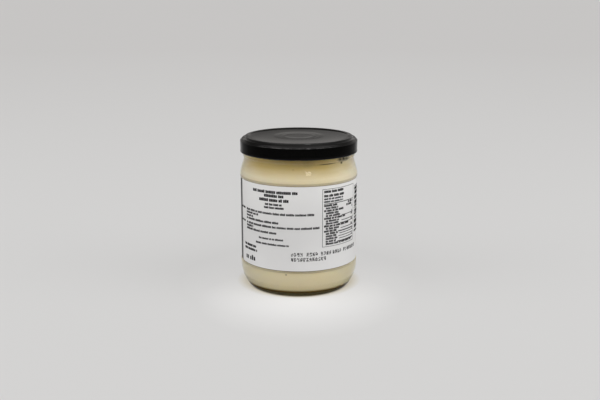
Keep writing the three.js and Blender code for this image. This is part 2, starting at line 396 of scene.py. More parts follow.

# The floor's tone and the glow that evens out its light, with painted light and shade: a pool of light
# in front of the jar, a halo and a warm shade round it, and a dark shadow under its foot
FLOOR_TONE = colour(0.30, 0.298, 0.296)
FAR_TONE = colour(0.27, 0.268, 0.266)
SHADE_TONE = colour(0.30, 0.27, 0.19)
# painted shadow under the jar's foot
FOOT_SHADOW_TONE = colour(0.14, 0.095, 0.02)
FLOOR_GLOW = colour(0.385, 0.383, 0.380)
FAR_GLOW = colour(0.378, 0.371, 0.366)
HALO_GLOW = colour(0.44, 0.437, 0.435)
POOL_GLOW = colour(0.563, 0.559, 0.554)
SHADE_GLOW = colour(0.375, 0.352, 0.308)
NO_GLOW = colour(0, 0, 0)
POOL_MIDDLE = (0, -45, 0)  # of the light pool in front of the jar
SHADE_MIDDLE = (0, 4, 0)  # of the jar's shade
FOOT_OVAL = (1.05, 1.0, 1.0)
FAR_BAND = (200, 3000)
HALO_BAND = (90, 50)
POOL_BAND = (72, 4)
SHADE_GLOW_BAND = (46.8, 39.5)
SHADE_TONE_BAND = (47.0, 39.5)
NO_GLOW_BAND = (39.6, 36.6)
FOOT_SHADOW_BAND = (40.5, 37.0)
UNSEEN_BAND = (300, 450)  # the floor gives the jar no light from beyond it
UNMIRRORED_BAND = (50, 46)  # nothing mirrors the floor inside it

# The stage, in metres
FLOOR_REACH = 80.0
FLOOR_SIDES = 96
LAMP_AIM = (0, 0, 0.05)
KEY_PLACE = (0.05, -0.35, 1.0)
KEY_POWER = 0.735
KEY_SPREAD = 90  # degrees
FRONT_LAMP_PLACE = (0.45, -1.245, 0.74)
FRONT_LAMP_SIZE = (0.24, 0.18)
FRONT_LAMP_POWER = 0.58
FILL_PLACE = (1.2, -0.35, 0.5)  # of the right one
FILL_SIZE = (0.8, 0.8)
LEFT_FILL_POWER = 4.2
RIGHT_FILL_POWER = 4.7
CAMERA_PLACE = (0.0009, -0.6345, 0.2098)
CAMERA_PITCH = 13.08  # degrees down
LENS = 52.5
SENSOR = 36


class Value:
    """A number or colour that runs through a material, with arithmetic written as in Python."""

    def __init__(self, finish, socket):
        self.finish = finish
        self.socket = socket

    def math(self, operation, *values):
        return self.finish.node("Math", {"operation": operation}, dict(enumerate(values)))

    def __add__(self, other):
        return self.math("ADD", self, other)

    def __radd__(self, other):
        return self.math("ADD", other, self)

    def __sub__(self, other):
        return self.math("SUBTRACT", self, other)

    def __rsub__(self, other):
        return self.math("SUBTRACT", other, self)

    def __mul__(self, other):
        return self.math("MULTIPLY", self, other)

    def __rmul__(self, other):
        return self.math("MULTIPLY", other, self)

    def __truediv__(self, other):
        return self.math("DIVIDE", self, other)

    def between(self, low, high, least=0.0, most=1.0):
        """Least at low, most at high, and an even slope between them."""
        sockets = {"Value": self, "From Min": low, "From Max": high, "To Min": least, "To Max": most}
        return self.finish.node("MapRange", {}, sockets)

    def along(self, band, least=0.0, most=1.0):
        """The same for a length, over a band in millimetres."""
        return self.between(band[0] * MM, band[1] * MM, least, most)

    def apart(self, band, most=1.0):
        """The same for a length's distance from zero, on either side of it."""
        return (self * self).between((band[0] * MM) ** 2, (band[1] * MM) ** 2, most=most)


class Finish:
    """A material, or the room's light, whose nodes are added one call at a time."""

    def __init__(self, owner, coordinates="Object"):
        self.owner = owner
        self.owner.use_nodes = True
        self.tree = self.owner.node_tree
        self.tree.nodes.clear()
        self.place = self.node("TexCoord", {}, {}, coordinates)

    def node(self, kind, settings, sockets, output=0):
        made = self.tree.nodes.new("ShaderNode" + kind)
        for name, value in settings.items():
            if name == "stops":
                self.set_stops(made.color_ramp, value)
            else:
                setattr(made, name, value)
        for name, value in sockets.items():
            if isinstance(value, Value):
                self.tree.links.new(value.socket, made.inputs[name])
            else:
                made.inputs[name].default_value = value
        return Value(self, made.outputs[output]) if len(made.outputs) else made

    def set_stops(self, ramp, stops):
        while len(ramp.elements) < len(stops):
            ramp.elements.new(1.0)
        for element, (place, tone) in zip(ramp.elements, stops):
            element.position = place
            element.color = tone

    def axis(self, name):
        """How far a place lies along X, Y or Z, in metres."""
        return self.node("SeparateXYZ", {}, {"Vector": self.place}, name)

    def stretched(self, factors):
        return self.node("VectorMath", {"operation": "MULTIPLY"}, {0: self.place, 1: factors})

    def distance(self, middle=(0, 0, 0), place=None):
        """How far a place is from a point that is given in millimetres, in metres."""
        sockets = {0: place or self.place, 1: Vector(middle) * MM}
        return self.node("VectorMath", {"operation": "DISTANCE"}, sockets, "Value")

    def noise(self, scale, detail=2.0, roughness=0.5, place=None):
        sockets = {"Vector": place or self.place, "Scale": scale}
        sockets.update({"Detail": detail, "Roughness": roughness})
        return self.node("TexNoise", {}, sockets)

    def blend(self, factor, first, second, kind="MIX"):
        """A colour between two colours."""
        sockets = {"Factor": factor, 6: first, 7: second}
        return self.node("Mix", {"data_type": "RGBA", "blend_type": kind}, sockets, 2)

    def layered(self, base, layers):
        """A colour with others laid over it, each by its own share."""
        for share, tone in layers:
            base = self.blend(share, base, tone)
        return base

    def bump(self, height, depth):
        """Relief of a depth in millimetres."""
        return self.node("Bump", {}, {"Height": height, "Distance": depth * MM})

    def surface(self, sockets):
        return self.node("BsdfPrincipled", {}, sockets)

    def finished(self, shader, kind="OutputMaterial"):
        self.node(kind, {}, {"Surface": shader})
        return self.owner


def new_finish(name):
    return Finish(bpy.data.materials.new(name))


def warm_grey(level, cast=CAST):
    return colour(level, (1 - cast / 2) * level, (1 - cast) * level)


def clear_glass():
    """Pressed glass with faint waves and the greenish cast of a cheap jar; painted shade browns its
    foot.
    """
    finish = new_finish("clear_glass")
    # painted shade in the foot of the glass
    foot = finish.axis("Z").along(GLASS_FOOT_BAND)
    glass = finish.surface({
        "Base Color": finish.blend(foot, GLASS_TINT, GLASS_FOOT_SHADE_TINT),
        "Roughness": 0.0,
        "IOR": 1.5,
        "Transmission Weight": 1.0,
        "Normal": finish.bump(finish.noise(scale=45, detail=1.0), depth=0.06),
    })
    clear = finish.node("BsdfTransparent", {}, {"Color": GLASS_SHADOW_TINT})
    lamp_rays = finish.node("LightPath", {}, {}, "Is Shadow Ray")
    return finish.finished(finish.node("MixShader", {}, {0: lamp_rays, 1: glass, 2: clear}))


def puree_dark_line(finish):
    """The share of the thin dark line, whose thickness is a little uneven."""
    across, deep, height = (finish.axis(name) for name in "XYZ")
    off = across - DARK_LINE_LOWEST * MM
    rise = across.along(DARK_LINE_RISE_BAND, most=DARK_LINE_RISE * MM)
    middle = off * off * DARK_LINE_BOW + rise + DARK_LINE_HEIGHT * MM
    line = ((height - middle) / across.along(DARK_LINE_SWELL_BAND, 1.0, DARK_LINE_SWELL)).apart(DARK_LINE_EDGE)
    ends = across.along(DARK_LINE_LEFT_END) * across.along(DARK_LINE_RIGHT_END)
    uneven = finish.noise(scale=330).between(0.3, 0.55, least=0.6)
    return line * ends * deep.along(DARK_LINE_DEPTH) * uneven


def vegetable_puree():
    """Smooth cream puree, a little uneven in tone, browner with age near the lid, with painted light and
    shade.
    """
    finish = new_finish("vegetable_puree")
    across, deep, height = (finish.axis(name) for name in "XYZ")
    clouds = finish.noise(scale=60, detail=4.0, roughness=0.6)
    flecks = finish.noise(scale=900, detail=3.0, roughness=0.7).between(0.62, 0.72, most=0.25)
    drawn = finish.stretched(STREAK_SQUEEZE)
    streaks = finish.noise(scale=75, detail=3.0, place=drawn).between(0.45, 0.65, most=0.35)
    low = height.along(LOW_BAND, most=0.85)
    high = 1.0 - low
    neck = height.along(NECK_BAND)
    left = across.along(LEFT_BAND) * (low * LEFT_MORE + LEFT_SHARE)
    front = (across + FRONT_SHIFT * MM).apart(FRONT_BAND) * deep.along(FRONT_DEPTH)
    specks = [(finish.distance(middle).along((radius, SPECK_CORE * radius), most=strength), SPECK_BROWN)
              for middle, radius, strength in SPECKS]
    # Painted shade low down, at the neck, at the low sides, at the left, under the lid, behind the paper
    # and at the foot; painted light high at both sides
    body = finish.layered(finish.blend(clouds, CREAM, PALE_CREAM), [
        (flecks, FLECK_CREAM),
        # painted shade, darker towards the foot
        (low, LOW_SHADE_CREAM),
        # painted shade, darker at the neck under the lid
        (neck, NECK_SHADE_CREAM),
        # painted shade, low at both sides
        (across.apart(FLANK_BAND, most=0.85) * low, FLANK_SHADE_CREAM),
        # painted light, paler and greyer high at both sides
        (across.apart(EDGE_BAND, most=0.5) * high, EDGE_LIGHT_CREAM),
        # painted shade at the left
        (left * high, LEFT_SHADE_CREAM),
        # browner with age, and painted shade of the lid, in front under it
        (height.along(AGED_AND_SHADED_BAND, most=0.87) * front, AGED_AND_SHADED_CREAM),
        (streaks * neck, STREAK_CREAM),
        # painted shadow of the paper, behind it and just beyond its edges
        (height.along(PAPER_TOP_BAND) * height.along(PAPER_FOOT_BAND), PAPER_SHADOW_CREAM),
        # a thin dark line painted on the puree under the lid
        (puree_dark_line(finish), DARK_LINE_BROWN),
        *specks,
        # painted shade, dark at the foot of the puree
        (height.along(FOOT_BAND), FOOT_SHADE_BROWN),
    ])
    return finish.finished(finish.surface({
        "Base Color": body,
        "Roughness": 0.45,
        "Subsurface Weight": 0.35,
        "Subsurface Radius": (0.006, 0.0045, 0.002),
        "Subsurface Scale": 1.0,
        "Normal": finish.bump(finish.noise(scale=700, detail=4.0), depth=0.08),
    }))


def black_lacquer():
    """Black lacquer on tinplate: satin, with a fine orange peel and a painted highlight along the
    shoulder's edge.
    """
    finish = new_finish("black_lacquer")
    patches = finish.noise(scale=190, detail=3.0).between(0.42, 0.64)
    edge = (finish.axis("Z") - HIGHLIGHT_HEIGHT * MM).apart((HIGHLIGHT_HALF, 0))
    # painted highlight: a thin uneven line along the shoulder's edge, in front and behind
    painted_highlight = edge * patches * finish.axis("Y").apart(HIGHLIGHT_BAND)
    wear = finish.noise(scale=35, detail=5.0, roughness=0.65)
    return finish.finished(finish.surface({
        "Base Color": finish.blend(painted_highlight, LACQUER, HIGHLIGHT_LACQUER),
        "Roughness": wear.between(0.35, 0.75, least=0.08, most=0.13),
        "IOR": 1.5,
        "Normal": finish.bump(finish.noise(scale=1400), depth=0.012),
    }))


def label_paper():
    """Coated white label paper with a faint fibre, and painted shade that greys it towards its foot."""
    finish = new_finish("label_paper")
    # painted shade, greyer towards the foot
    height = finish.axis("Z").along(PAPER_BAND, most=1 - PAPER_MOTTLE)
    shade = finish.noise(scale=28) * PAPER_MOTTLE + height
    return finish.finished(finish.surface({
        "Base Color": finish.blend(shade, SHADED_PAPER, WHITE_PAPER),
        "Roughness": 0.55,
        "Normal": finish.bump(finish.noise(scale=2600, detail=3.0, roughness=0.7), depth=0.008),
    }))


def printing_ink(name, tone, roughness, gloss=0.5):
    """Flat ink, slightly uneven where the paper takes it."""
    finish = new_finish(name)
    uneven = finish.noise(scale=1800, detail=3.0).between(0.3, 0.8)
    thin = tuple((1 - THIN_SHARE) * part + THIN_SHARE * THIN_INK for part in tone)
    return finish.finished(finish.surface({
        "Base Color": finish.blend(uneven, colour(*tone), colour(*thin)),
        "Roughness": roughness,
        "Specular IOR Level": gloss,
    }))


def pale_floor():
    """A matt pale floor with a glow and painted light and shade, warmer in the jar's shade. Only the
    camera sees it beyond an arm's length.
    """
    finish = new_finish("pale_floor")
    away = finish.distance()
    foot = finish.distance(place=finish.stretched(FOOT_OVAL))
    shade = finish.distance(SHADE_MIDDLE)
    far = away.along(FAR_BAND)
    # painted shade: warmer near the jar and dark under its foot
    tone = finish.layered(FLOOR_TONE, [
        (far, FAR_TONE),
        (shade.along(SHADE_TONE_BAND), SHADE_TONE),
        # painted shadow under the jar's foot
        (foot.along(FOOT_SHADOW_BAND), FOOT_SHADOW_TONE),
    ])
    # painted light and shade: a glow that evens out the floor's light, a pool of light in front of the
    # jar, a halo and a shaded ring round it, and no glow under its foot
    glow = finish.layered(FLOOR_GLOW, [
        (far, FAR_GLOW),
        (shade.along(HALO_BAND), HALO_GLOW),
        (finish.distance(POOL_MIDDLE).along(POOL_BAND), POOL_GLOW),
        (shade.along(SHADE_GLOW_BAND), SHADE_GLOW),
        (foot.along(NO_GLOW_BAND), NO_GLOW),
    ])
    floor = finish.surface({
        "Base Color": tone,
        "Roughness": 1.0,
        "Specular IOR Level": 0.0,
        "Emission Color": glow,
        "Emission Strength": 1.0,
    })
    mirrored = finish.node("LightPath", {}, {}, "Is Glossy Ray")
    lighting = finish.node("LightPath", {}, {}, "Is Diffuse Ray")
    nothing = finish.node("BsdfTransparent", {}, {})
    unseen = away.along(UNSEEN_BAND)
    left_out = mirrored * (unseen + away.along(UNMIRRORED_BAND)) + lighting * unseen
    return finish.finished(finish.node("MixShader", {}, {0: left_out, 1: floor, 2: nothing}))


class Outline:
    """A line of (radius, height) points, drawn from one end."""

    def __init__(self, radius, height):
        self.points = [Vector((radius, height))]

    def line(self, radius, height, steps=1):
        self.bend((radius, height), steps=steps)

    def bend(self, *controls, steps=8):
        """A Bezier curve from the last point, pulled by the controls, to the last of them."""
        anchors = [self.points[-1]] + [Vector(control) for control in controls]
        for step in range(1, steps + 1):
            level = anchors
            while len(level) > 1:
                level = [a.lerp(b, step / steps) for a, b in zip(level, level[1:])]
            self.points.append(level[0])


def glass_outside():
    recess = BODY_RADIUS - LABEL_RECESS
    flare = NECK_RADIUS + NECK_FLARE
    lip = (FINISH_RADIUS + MOUTH_RADIUS) / 2
    bulge = 2 * BEAD_RADIUS - NECK_RADIUS
    low_step = LABEL_BOTTOM - RECESS_EDGE
    high_step = LABEL_TOP + RECESS_EDGE
    half = RECESS_STEP / 2
    outline = Outline(0, PUSH_UP)
    outline.bend((REST_INNER / 2, PUSH_UP), (REST_INNER - REST_LEAN, REST_LIFT), (REST_INNER, 0),
                 steps=16)
    outline.line(REST_OUTER, 0, steps=4)
    outline.bend((REST_OUTER + REST_EDGE / 2, 0), (REST_OUTER + REST_EDGE, REST_EDGE / 2), steps=4)
    outline.bend((HEEL_FLARE, HEEL_TURN), (BODY_RADIUS, HEEL_EASE), (BODY_RADIUS, HEEL_END), steps=22)
    outline.line(BODY_RADIUS, HEEL_TOP, steps=2)
    outline.bend((BODY_RADIUS, HEEL_TOP + half), (recess, low_step - half), (recess, low_step), steps=8)
    outline.line(recess, high_step)
    outline.bend((recess, high_step + half), (BODY_RADIUS, SHOULDER_START - half),
                 (BODY_RADIUS, SHOULDER_START), steps=8)
    outline.bend((BODY_RADIUS, SHOULDER_TURN), (flare, NECK_TURN), (NECK_RADIUS, NECK_HEIGHT), steps=20)
    outline.line(NECK_RADIUS, BEAD_HEIGHT - BEAD_HALF)
    outline.bend((bulge, BEAD_HEIGHT), (FINISH_RADIUS, BEAD_HEIGHT + BEAD_HALF), steps=14)
    outline.line(FINISH_RADIUS, LIP_TOP - LIP_ROUND, steps=22)
    outline.bend((FINISH_RADIUS, LIP_TOP), (lip, LIP_TOP), steps=5)
    outline.bend((MOUTH_RADIUS, LIP_TOP), (MOUTH_RADIUS, LIP_TOP - LIP_ROUND), steps=5)
    return outline


def glass_inside(into=0.0):
    """The inside of the glass from the middle of the base up to the neck, let into the wall."""
    middle = PUSH_UP + BASE_GLASS - into
    low = FLOOR_LOW - into
    wall = BODY_RADIUS - WALL + into
    neck = MOUTH_RADIUS + into
    outline = Outline(0, middle)
    outline.bend((FLOOR_EDGE / 2, middle), (FLOOR_EDGE - FLOOR_LEAN, low), (FLOOR_EDGE + into, low),
                 steps=14)
    outline.bend((CORNER_RADIUS + into, low), (CORNER_EASE + into, CORNER_TOP), steps=8)
    outline.bend((HEEL_INSIDE + into, HEEL_INSIDE_TURN), (wall, HEEL_INSIDE_EASE), (wall, HEEL_TOP),
                 steps=14)
    outline.line(wall, SHOULDER_START)
    outline.bend((wall, SHOULDER_TURN), (neck + NECK_FLARE, NECK_TURN), (neck, NECK_HEIGHT), steps=18)
    return outline


def deselect():
    if bpy.context.object and bpy.context.object.mode == "EDIT":
        bpy.ops.object.mode_set(mode="OBJECT")
    bpy.ops.object.select_all(action="DESELECT")


def turned(name, points, crease=CREASE):
    """Draws the points as a chain of vertices beside the axis and spins it into a closed shape."""
    deselect()
    places = [Vector((point.x * MM, 0, point.y * MM)) for point in points]
    bpy.ops.mesh.primitive_plane_add(size=MM, location=places[0])
    piece = bpy.context.object
    piece.name = piece.data.name = name
    bpy.ops.object.mode_set(mode="EDIT")
    bpy.ops.mesh.merge(type="CENTER")
    for here, there in zip(places, places[1:]):
        bpy.ops.mesh.extrude_vertices_move(TRANSFORM_OT_translate={"value": there - here})
    bpy.ops.mesh.select_all(action="SELECT")
    bpy.ops.mesh.spin(steps=COLUMNS, angle=math.tau, center=(0, 0, 0), axis=(0, 0, 1))
    bpy.ops.mesh.select_all(action="SELECT")
    bpy.ops.mesh.remove_doubles(threshold=MERGED * MM)
    bpy.ops.mesh.normals_make_consistent(inside=False)
    bpy.ops.object.mode_set(mode="OBJECT")
    bpy.ops.object.transform_apply(location=True, rotation=True, scale=True)
    bpy.ops.object.shade_smooth_by_angle(angle=math.radians(crease))
    return piece


def finish_piece(piece, material, *nodes, slot=None):
    """Gives a piece its material, hides the parts it stands for, and makes it ride on the root."""
    piece.data.materials.clear()
    piece.data.materials.append(material)
    if nodes:
        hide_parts(*nodes)
    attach(piece, "root")


def move_points(piece, where):
    """Moves each vertex to where(radius, angle, height), in millimetres and radians, if not None."""
    for vertex in piece.data.vertices:
        x, y, z = vertex.co / MM
        moved = where(math.hypot(x, y), math.atan2(y, x), z)
        if moved:
            radius, angle, height = moved
            vertex.co = Vector((radius * math.cos(angle), radius * math.sin(angle), height)) * MM
    piece.data.update()


def smooth_step(x):
    x = min(max(x, 0.0), 1.0)
    return x * x * (3 - 2 * x)


def within(angle, start, span):
    """How far angle lies along an arc, from 0 to 1, or None where it is outside."""
    along = (angle - start) % math.tau / span
    return along if along <= 1 else None


def raise_threads(radius, angle, height):
    """One sloping thread for each lug, round the outside of the mouth."""
    if radius < FINISH_RADIUS - NEAR or height < BEAD_HEIGHT + BEAD_HALF:
        return None
    for lug in range(LUGS):
        along = within(angle, lug * math.tau / LUGS, math.radians(THREAD_SPAN))
        if along is None:
            continue
        off = abs(height - THREAD_LOW - along * THREAD_RISE) / THREAD_HALF
        ends = smooth_step(min(along, 1 - along) / THREAD_FADE)
        if off < THREAD_FLANK:
            return radius + THREAD_DEPTH * ends * smooth_step(THREAD_FLANK - off), angle, height
    return None


def knurl_base(radius, angle, height):
    """Small radial ribs round the resting ring."""
    if REST_INNER - NEAR < radius < REST_OUTER + NEAR and height < NEAR:
        column = round((angle % math.tau) / math.tau * COLUMNS)
        if column % KNURL_PITCH < KNURL_WIDTH:
            return radius, angle, height + KNURL_DEPTH
    return None


def add_mould_seams(piece):
    """Cuts extra edges along the two parting lines of the mould and raises the middle one."""
    across = Vector((math.cos(math.radians(SEAM_ANGLE)), math.sin(math.radians(SEAM_ANGLE)), 0))
    deselect()
    piece.select_set(True)
    bpy.context.view_layer.objects.active = piece
    bpy.ops.object.mode_set(mode="EDIT")
    for offset in SEAM_OFFSETS:
        bpy.ops.mesh.select_all(action="SELECT")
        bpy.ops.mesh.bisect(plane_co=across * offset * MM, plane_no=across, threshold=ON_CUT * MM)
    bpy.ops.object.mode_set(mode="OBJECT")
    for vertex in piece.data.vertices:
        x, y, z = vertex.co / MM
        radius = math.hypot(x, y)
        outside = radius > (NECK_RADIUS - SEAM_REACH if z > HEEL_TURN else REST_OUTER)
        on_seam = abs(Vector((x, y, 0)).dot(across)) < NEAR / 2
        if outside and on_seam and SEAM_START < z < BEAD_HEIGHT:
            vertex.co.x *= 1 + SEAM_HEIGHT / radius
            vertex.co.y *= 1 + SEAM_HEIGHT / radius


def make_glass():
    outside = glass_outside().points
    inside = glass_inside().points
    jar = turned("glass_jar", outside + inside[::-1])
    move_points(jar, raise_threads)
    move_points(jar, knurl_base)
    add_mould_seams(jar)
    finish_piece(jar, clear_glass(), "jar", slot="clear_glass")


def make_puree():
    body = glass_inside(INTO_WALL)
    edge = MOUTH_RADIUS + INTO_WALL
    body.line(edge, PUREE_LEVEL, steps=4)
    body.bend((edge - SURFACE_EDGE, PUREE_LEVEL - 2 * SURFACE_SAG),
              (edge / 2, PUREE_LEVEL - SURFACE_SAG), steps=8)
    body.line(0, PUREE_LEVEL - SURFACE_SAG / 2, steps=6)
    puree = turned("vegetable_puree", body.points)
    finish_piece(puree, vegetable_puree(), "puree", slot="vegetable_puree")


def lid_outline():
    panel = TOTAL_HEIGHT - PANEL_DEPTH
    crown = panel + PANEL_CROWN
    button = crown - BUTTON_DROP
    button_edge = BUTTON_RADIUS - BUTTON_SLOPE
    groove = button - GROOVE_DEPTH
    under = panel - LID_SHEET
    inside = LID_RADIUS - LID_SHEET
    curl_middle = LID_RADIUS - CURL / 2
    curl_top = LID_BOTTOM + CURL
    waist = LID_RADIUS - SKIRT_WAIST
    shoulder = TOTAL_HEIGHT - SHOULDER_DROP
    foot = TOTAL_HEIGHT - RIM_RISE
    top = TOTAL_HEIGHT
    lid = Outline(0, under)
    lid.line(inside - INSIDE_ROUND, under, steps=4)
    lid.bend((inside, under), (inside, under - INSIDE_DROP), steps=6)
    lid.line(inside, curl_top + CURL_GAP, steps=2)
    lid.bend((LID_RADIUS - CURL, curl_top), (LID_RADIUS - CURL, LID_BOTTOM + CURL / 2), steps=4)
    lid.bend((LID_RADIUS - CURL, LID_BOTTOM), (curl_middle, LID_BOTTOM), steps=5)
    lid.bend((LID_RADIUS, LID_BOTTOM), (LID_RADIUS, LID_BOTTOM + CURL / 2), steps=6)
    lid.bend((LID_RADIUS, curl_top), (waist, curl_top), (waist, curl_top + CURL / 3), steps=5)
    lid.line(LID_RADIUS, shoulder, steps=3)
    corner = (SHOULDER_CORNER, foot - SHOULDER_SLOPE)
    lid.bend((LID_RADIUS, shoulder + SHOULDER_EASE), corner, (RIM_FOOT, foot), steps=14)
    lid.bend((RIM_STEP, foot), (RIM_STEP, foot + RIM_RISE / 2), steps=4)
    lid.bend((RIM_OUTER, top), (RIM_CREST, top), steps=7)
    lid.bend((RIM_INNER, top), (RIM_INNER, panel), (PANEL_EDGE, panel), steps=12)
    lid.bend(((PANEL_EDGE + BUTTON_RADIUS) / 2, crown), (BUTTON_RADIUS, crown), steps=12)
    lid.bend((BUTTON_RADIUS - RAMP_EASE, crown), (button_edge + RAMP_EASE, button),
             (button_edge, button), steps=8)
    lid.line(GROOVE_OUTER, button, steps=2)
    lid.bend((GROOVE_OUTER - RAMP_EASE, button), (GROOVE_MIDDLE + RAMP_EASE, groove),
             (GROOVE_MIDDLE, groove), steps=6)
    lid.bend((GROOVE_MIDDLE - RAMP_EASE, groove), (GROOVE_INNER + RAMP_EASE, button),
             (GROOVE_INNER, button), steps=6)
    lid.line(0, button, steps=4)
    return lid


def press_lugs(radius, angle, height):
    """The lugs: short lengths of the rolled edge pressed inwards."""
    if height > LID_BOTTOM + CURL or radius > LID_RADIUS - CURL / 2:
        return None
    for lug in range(LUGS):
        middle = (lug + 0.5) * math.tau / LUGS
        along = within(angle, middle - math.radians(LUG_SPAN), 2 * math.radians(LUG_SPAN))
        if along is not None:
            pressed = smooth_step(LUG_STEEPNESS * min(along, 1 - along))
            return radius - LUG_REACH * pressed, angle, height
    return None


def make_lid():
    lid = turned("black_lid", lid_outline().points, LID_CREASE)
    move_points(lid, press_lugs)
    finish_piece(lid, black_lacquer(), "lid", slot="black_lacquer")


class Sheet:
    """Paper or ink, cut flat and then wrapped round the jar.

    Flat, x runs along the paper from the middle of the printed side, to the right, and z is height.
    """

    def __init__(self, name, radius, thickness):
        self.radius = radius
        self.thickness = thickness
        deselect()
        bpy.ops.mesh.primitive_plane_add(size=1)
        self.piece = bpy.context.object
        self.piece.name = self.piece.data.name = name
        bpy.ops.object.mode_set(mode="EDIT")
        bpy.ops.mesh.delete(type="VERT")

    def bar(self, left, right, low, high):
        """A rectangle, in facets short enough to bend."""
        middle = Vector(((left + right) / 2, 0, (low + high) / 2)) * MM
        facets = max(1, math.ceil((right - left) / PAPER_STEP))
        bpy.ops.mesh.select_all(action="DESELECT")
        bpy.ops.mesh.primitive_grid_add(x_subdivisions=facets, y_subdivisions=1, size=1,
                                        location=middle, rotation=(math.radians(90), 0, 0))
        size = ((right - left) * MM, 1, (high - low) * MM)
        bpy.ops.transform.resize(value=size, center_override=middle)

    def shape(self, left, right, low, high, form, turn=0.0):
        """A patch whose unit square is bent by form(u, v), turned by an angle about its middle."""
        across = max(2, math.ceil((right - left) / PAPER_STEP))
        up = max(2, math.ceil((high - low) / PAPER_STEP))
        middle = Vector(((left + right) / 2, 0, (low + high) / 2)) * MM
        bpy.ops.mesh.select_all(action="DESELECT")
        bpy.ops.mesh.primitive_grid_add(x_subdivisions=across, y_subdivisions=up, size=2,
                                        location=middle, rotation=(math.radians(90), 0, 0))
        bpy.ops.object.mode_set(mode="OBJECT")
        for vertex in self.piece.data.vertices:
            if vertex.select:
                u, v = form(vertex.co.x - middle.x, vertex.co.z - middle.z)
                x = u * (right - left) / 2 * MM
                z = v * (high - low) / 2 * MM
                vertex.co = middle + Vector((x * math.cos(turn) - z * math.sin(turn), 0,
                                             x * math.sin(turn) + z * math.cos(turn)))
        bpy.ops.object.mode_set(mode="EDIT")

    def wrapped(self):
        """Gives the sheet its thickness, outwards, and bends it round the jar."""
        bpy.ops.object.mode_set(mode="OBJECT")
        thick = self.piece.modifiers.new("thickness", "SOLIDIFY")
        thick.thickness = self.thickness * MM
        thick.offset = 1.0
        bpy.ops.object.modifier_apply(modifier=thick.name)
        for vertex in self.piece.data.vertices:
            angle = vertex.co.x / MM / PAPER_RADIUS
            radius = self.radius * MM - vertex.co.y
            vertex.co = Vector((radius * math.sin(angle), -radius * math.cos(angle), vertex.co.z))
        self.piece.data.update()
        bpy.ops.object.shade_smooth_by_angle(angle=math.radians(CREASE))
        return self.piece


def along_paper(degrees):
    return math.radians(degrees) * PAPER_RADIUS


def paper_start():
    return along_paper(GAP_AT - 360) + GAP / 2


def make_label():
    sheet = Sheet("paper_label", PAPER_RADIUS, PAPER)
    sheet.bar(paper_start(), along_paper(GAP_AT) - GAP / 2, LABEL_BOTTOM, LABEL_TOP)
    finish_piece(sheet.wrapped(), label_paper(), "label", slot="label_paper")


def greek(sheet, left, right, low, high, draw, weight=LIGHT):
    """A line of blocks in the sizes of words and letters, with nothing to read in it."""
    height = high - low
    pitch = BLOCK_PITCH * height
    x = left
    while x < right - pitch / 2:
        for _ in range(draw.choice(WORD_LENGTHS)):
            if x + pitch > right:
                break
            tall = draw.choice((weight - LOW_BLOCK, weight, weight, 1.0)) * height
            sheet.bar(x, x + weight * pitch, low, low + tall)
            x += pitch
        x += WORD_SPACE * pitch


def dotted(sheet, left, right, low, high, draw):
    """A row of small dot patterns, as an ink-jet coder leaves."""
    step = (high - low) / DOT_ROWS
    size = DOT_SIZE * step
    pitch = (DOT_COLUMNS + 1) * step
    for mark in range(round((right - left) / pitch)):
        for column in range(DOT_COLUMNS):
            for row in range(DOT_ROWS):
                if draw.random() < DOT_SHARE:
                    x = left + mark * pitch + column * step
                    z = low + row * step
                    sheet.bar(x, x + size, z, z + size)


def print_text(sheet):
    """The printed side: a heading, two blocks of small lines, and a few lines below."""
    draw = random.Random(TEXT_SEED)
    for left, right, low, high in HEADING_LINES:
        greek(sheet, left, right, low, high, draw, OPEN if high - low > TALL_LINE else HEAVY)
    for top, ends in TEXT_BLOCKS:
        greek(sheet, *SIDE_WORD, top - SIDE_WORD_FOOT, top + SIDE_WORD_TOP, draw, HEAVY)
        for line, end in enumerate(ends):
            low = top - TEXT_DROP - TEXT_PITCH * line
            greek(sheet, TEXT_LEFT, end, low, low + TEXT_HEIGHT, draw)
    for line in LOW_LINES:
        greek(sheet, *line, draw)
    for group in CODE_GROUPS:
        dotted(sheet, *group, *CODE_HEIGHTS, draw)
    dotted(sheet, *LOW_CODE, draw)


def print_table(sheet):
    """The nutrition table: a ruled box with heading lines and rows of small blocks."""
    draw = random.Random(TABLE_SEED)
    left, right, low, high = TABLE
    sheet.bar(left, right, low, low + TABLE_LINE)
    sheet.bar(left, right, high - TABLE_LINE, high)
    sheet.bar(left, left + TABLE_LINE, low + TABLE_LINE, high - TABLE_LINE)
    sheet.bar(right - TABLE_LINE, right, low + TABLE_LINE, high - TABLE_LINE)
    inset = left + TABLE_INSET
    rule_end = right - RULE_MARGIN
    value_end = right - VALUE_END
    for end, foot, top, weight in TABLE_HEADINGS:
        greek(sheet, inset, end, foot, top, draw, weight)
    sheet.bar(inset, rule_end, *TABLE_HEADING_RULE)
    for row, end in enumerate(TABLE_ENDS):
        z = TABLE_FIRST - row * TABLE_PITCH
        top = z + TABLE_TEXT
        strong = row in STRONG_ROWS
        indent = 0 if strong else TABLE_INDENT
        greek(sheet, inset + indent, end, z, top, draw, HEAVY if strong else LIGHT)
        if row in LONG_VALUE_ROWS:
            further = LONG_VALUE_STEP * row
            greek(sheet, right - LONG_VALUE_START - further, value_end - further, z, top, draw, HEAVY)
        elif row in VALUE_ROWS:
            greek(sheet, right - draw.uniform(*VALUE_STARTS), value_end, z, top, draw)
        if row in BOLD_RULE_ROWS:
            sheet.bar(end + RULE_MARGIN, rule_end, z - BOLD_RULE_FOOT, z - RULE_DROP)
        elif row in THIN_RULE_ROWS:
            sheet.bar(end + RULE_MARGIN, rule_end, z - THIN_RULE_FOOT, z - RULE_DROP)


